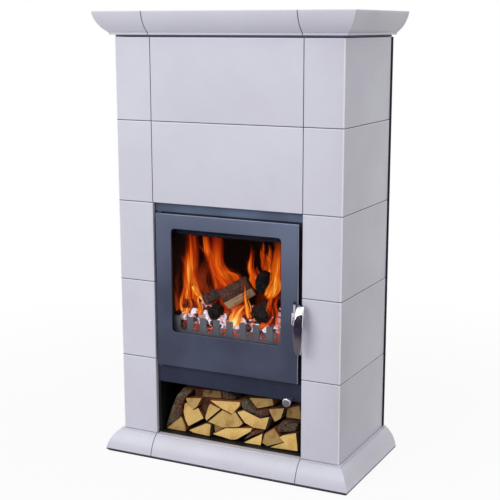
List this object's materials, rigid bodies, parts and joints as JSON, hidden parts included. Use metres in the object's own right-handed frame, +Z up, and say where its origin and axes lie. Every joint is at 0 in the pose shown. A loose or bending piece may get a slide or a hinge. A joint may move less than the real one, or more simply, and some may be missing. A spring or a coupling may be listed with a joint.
{
  "type": "tiled wood stove",
  "caption": "Tall glazed-tile wood stove with moulded crown and base, a glazed steel fire door with a sprung lever latch, a log niche below it and a pull-out air control.",
  "frame": {"origin": "on the floor, under the middle of the stove as measured over its mouldings", "axes": "+X to the right along the front, +Y towards the wall behind, +Z up; the fire door faces -Y"},
  "size_m": [0.734, 0.378, 1.203],
  "materials": {
    "tile": "pale lavender-grey glaze, satin gloss",
    "moulding": "the same glaze as the tiles",
    "floor_pan": "black painted sheet",
    "back_panel": "dark blue-grey painted sheet",
    "side_panel": "galvanised sheet",
    "top_frame": "dark painted steel",
    "top_plate": "black heat-proof paint",
    "flue_pipe": "black heat-proof paint",
    "firebox_plate": "sooty black steel",
    "front_steel": "blue-grey metallic heat-proof paint",
    "liner": "vermiculite board, darkened by smoke",
    "hearth": "fire brick, sooty",
    "cast_iron": "rough grey casting",
    "ash_pan": "galvanised sheet",
    "air_wash": "dark steel plate",
    "niche_side": "dark blue-grey paint",
    "niche_sheet": "black paint",
    "door_steel": "blue-grey metallic heat-proof paint",
    "door_glass": "clear heat-proof glass",
    "glass_frame": "dark pressed steel",
    "gasket": "dark woven glass-fibre rope",
    "handle_mount": "bright plated steel",
    "pin_cap": "black",
    "spring": "drawn spring wire",
    "handle_lever": "polished chrome",
    "latch_hook": "plated plate",
    "air_slide": "plated rod and shutter",
    "air_knob": "turned and polished chrome"
  },
  "bodies": {
    "stove": {"tile_left_1": "tile", "tile_left_2": "tile", "tile_left_3": "tile", "tile_left_4": "tile", "tile_left_5": "tile", "tile_right_1": "tile", "tile_right_2": "tile", "tile_right_3": "tile", "tile_right_4": "tile", "tile_right_5": "tile", "tile_front_4": "tile", "tile_front_5": "tile", "crown_left": "moulding", "crown_front": "moulding", "crown_right": "moulding", "base_left": "moulding", "base_front": "moulding", "base_right": "moulding", "floor_pan": "floor_pan", "back_panel": "back_panel", "side_panel_left": "side_panel", "side_panel_right": "side_panel", "top_frame": "top_frame", "convection_grille": "top_plate", "flue_plate": "top_plate", "flue_pipe": "flue_pipe", "firebox_shell": "firebox_plate", "firebox_top": "firebox_plate", "firebox_floor": "firebox_plate", "fire_frame": "front_steel", "front_strip": "front_steel", "front_band": "front_steel", "hinge_upper": "front_steel", "hinge_lower": "front_steel", "liner_left": "liner", "liner_right": "liner", "liner_back": "liner", "baffle": "liner", "hearth_left": "hearth", "hearth_right": "hearth", "grate": "cast_iron", "log_guard": "cast_iron", "ash_pan": "ash_pan", "air_wash_plate": "air_wash", "niche_left": "niche_side", "niche_right": "niche_side", "niche_top": "niche_sheet", "niche_floor": "niche_sheet"},
    "door": {"door_frame": "door_steel", "door_glass": "door_glass", "glass_frame": "glass_frame", "door_gasket": "gasket", "handle_bracket": "handle_mount", "handle_pin": "handle_mount", "pin_cap": "pin_cap", "handle_spring": "spring"},
    "handle": {"handle_lever": "handle_lever", "latch_hook": "latch_hook"},
    "air_control": {"air_slide": "air_slide", "air_knob": "air_knob"}
  },
  "joints": [
    {"name": "door_hinge", "type": "hinge", "parent": "stove", "child": "door", "pos_m": [-0.1995, -0.14775, 0.473], "axis": [0, 0, -1], "range_deg": [0, 115]},
    {"name": "handle_turn", "type": "hinge", "parent": "door", "child": "handle", "pos_m": [0.202, -0.159, 0.437], "axis": [0, 0, -1], "range_deg": [0, 15], "stiffness_Nm_per_rad": 0.15, "springref_deg": -17.19},
    {"name": "air_slide_travel", "type": "slide", "parent": "stove", "child": "air_control", "axis": [0, -1, 0], "range_m": [0, 0.03]}
  ]
}
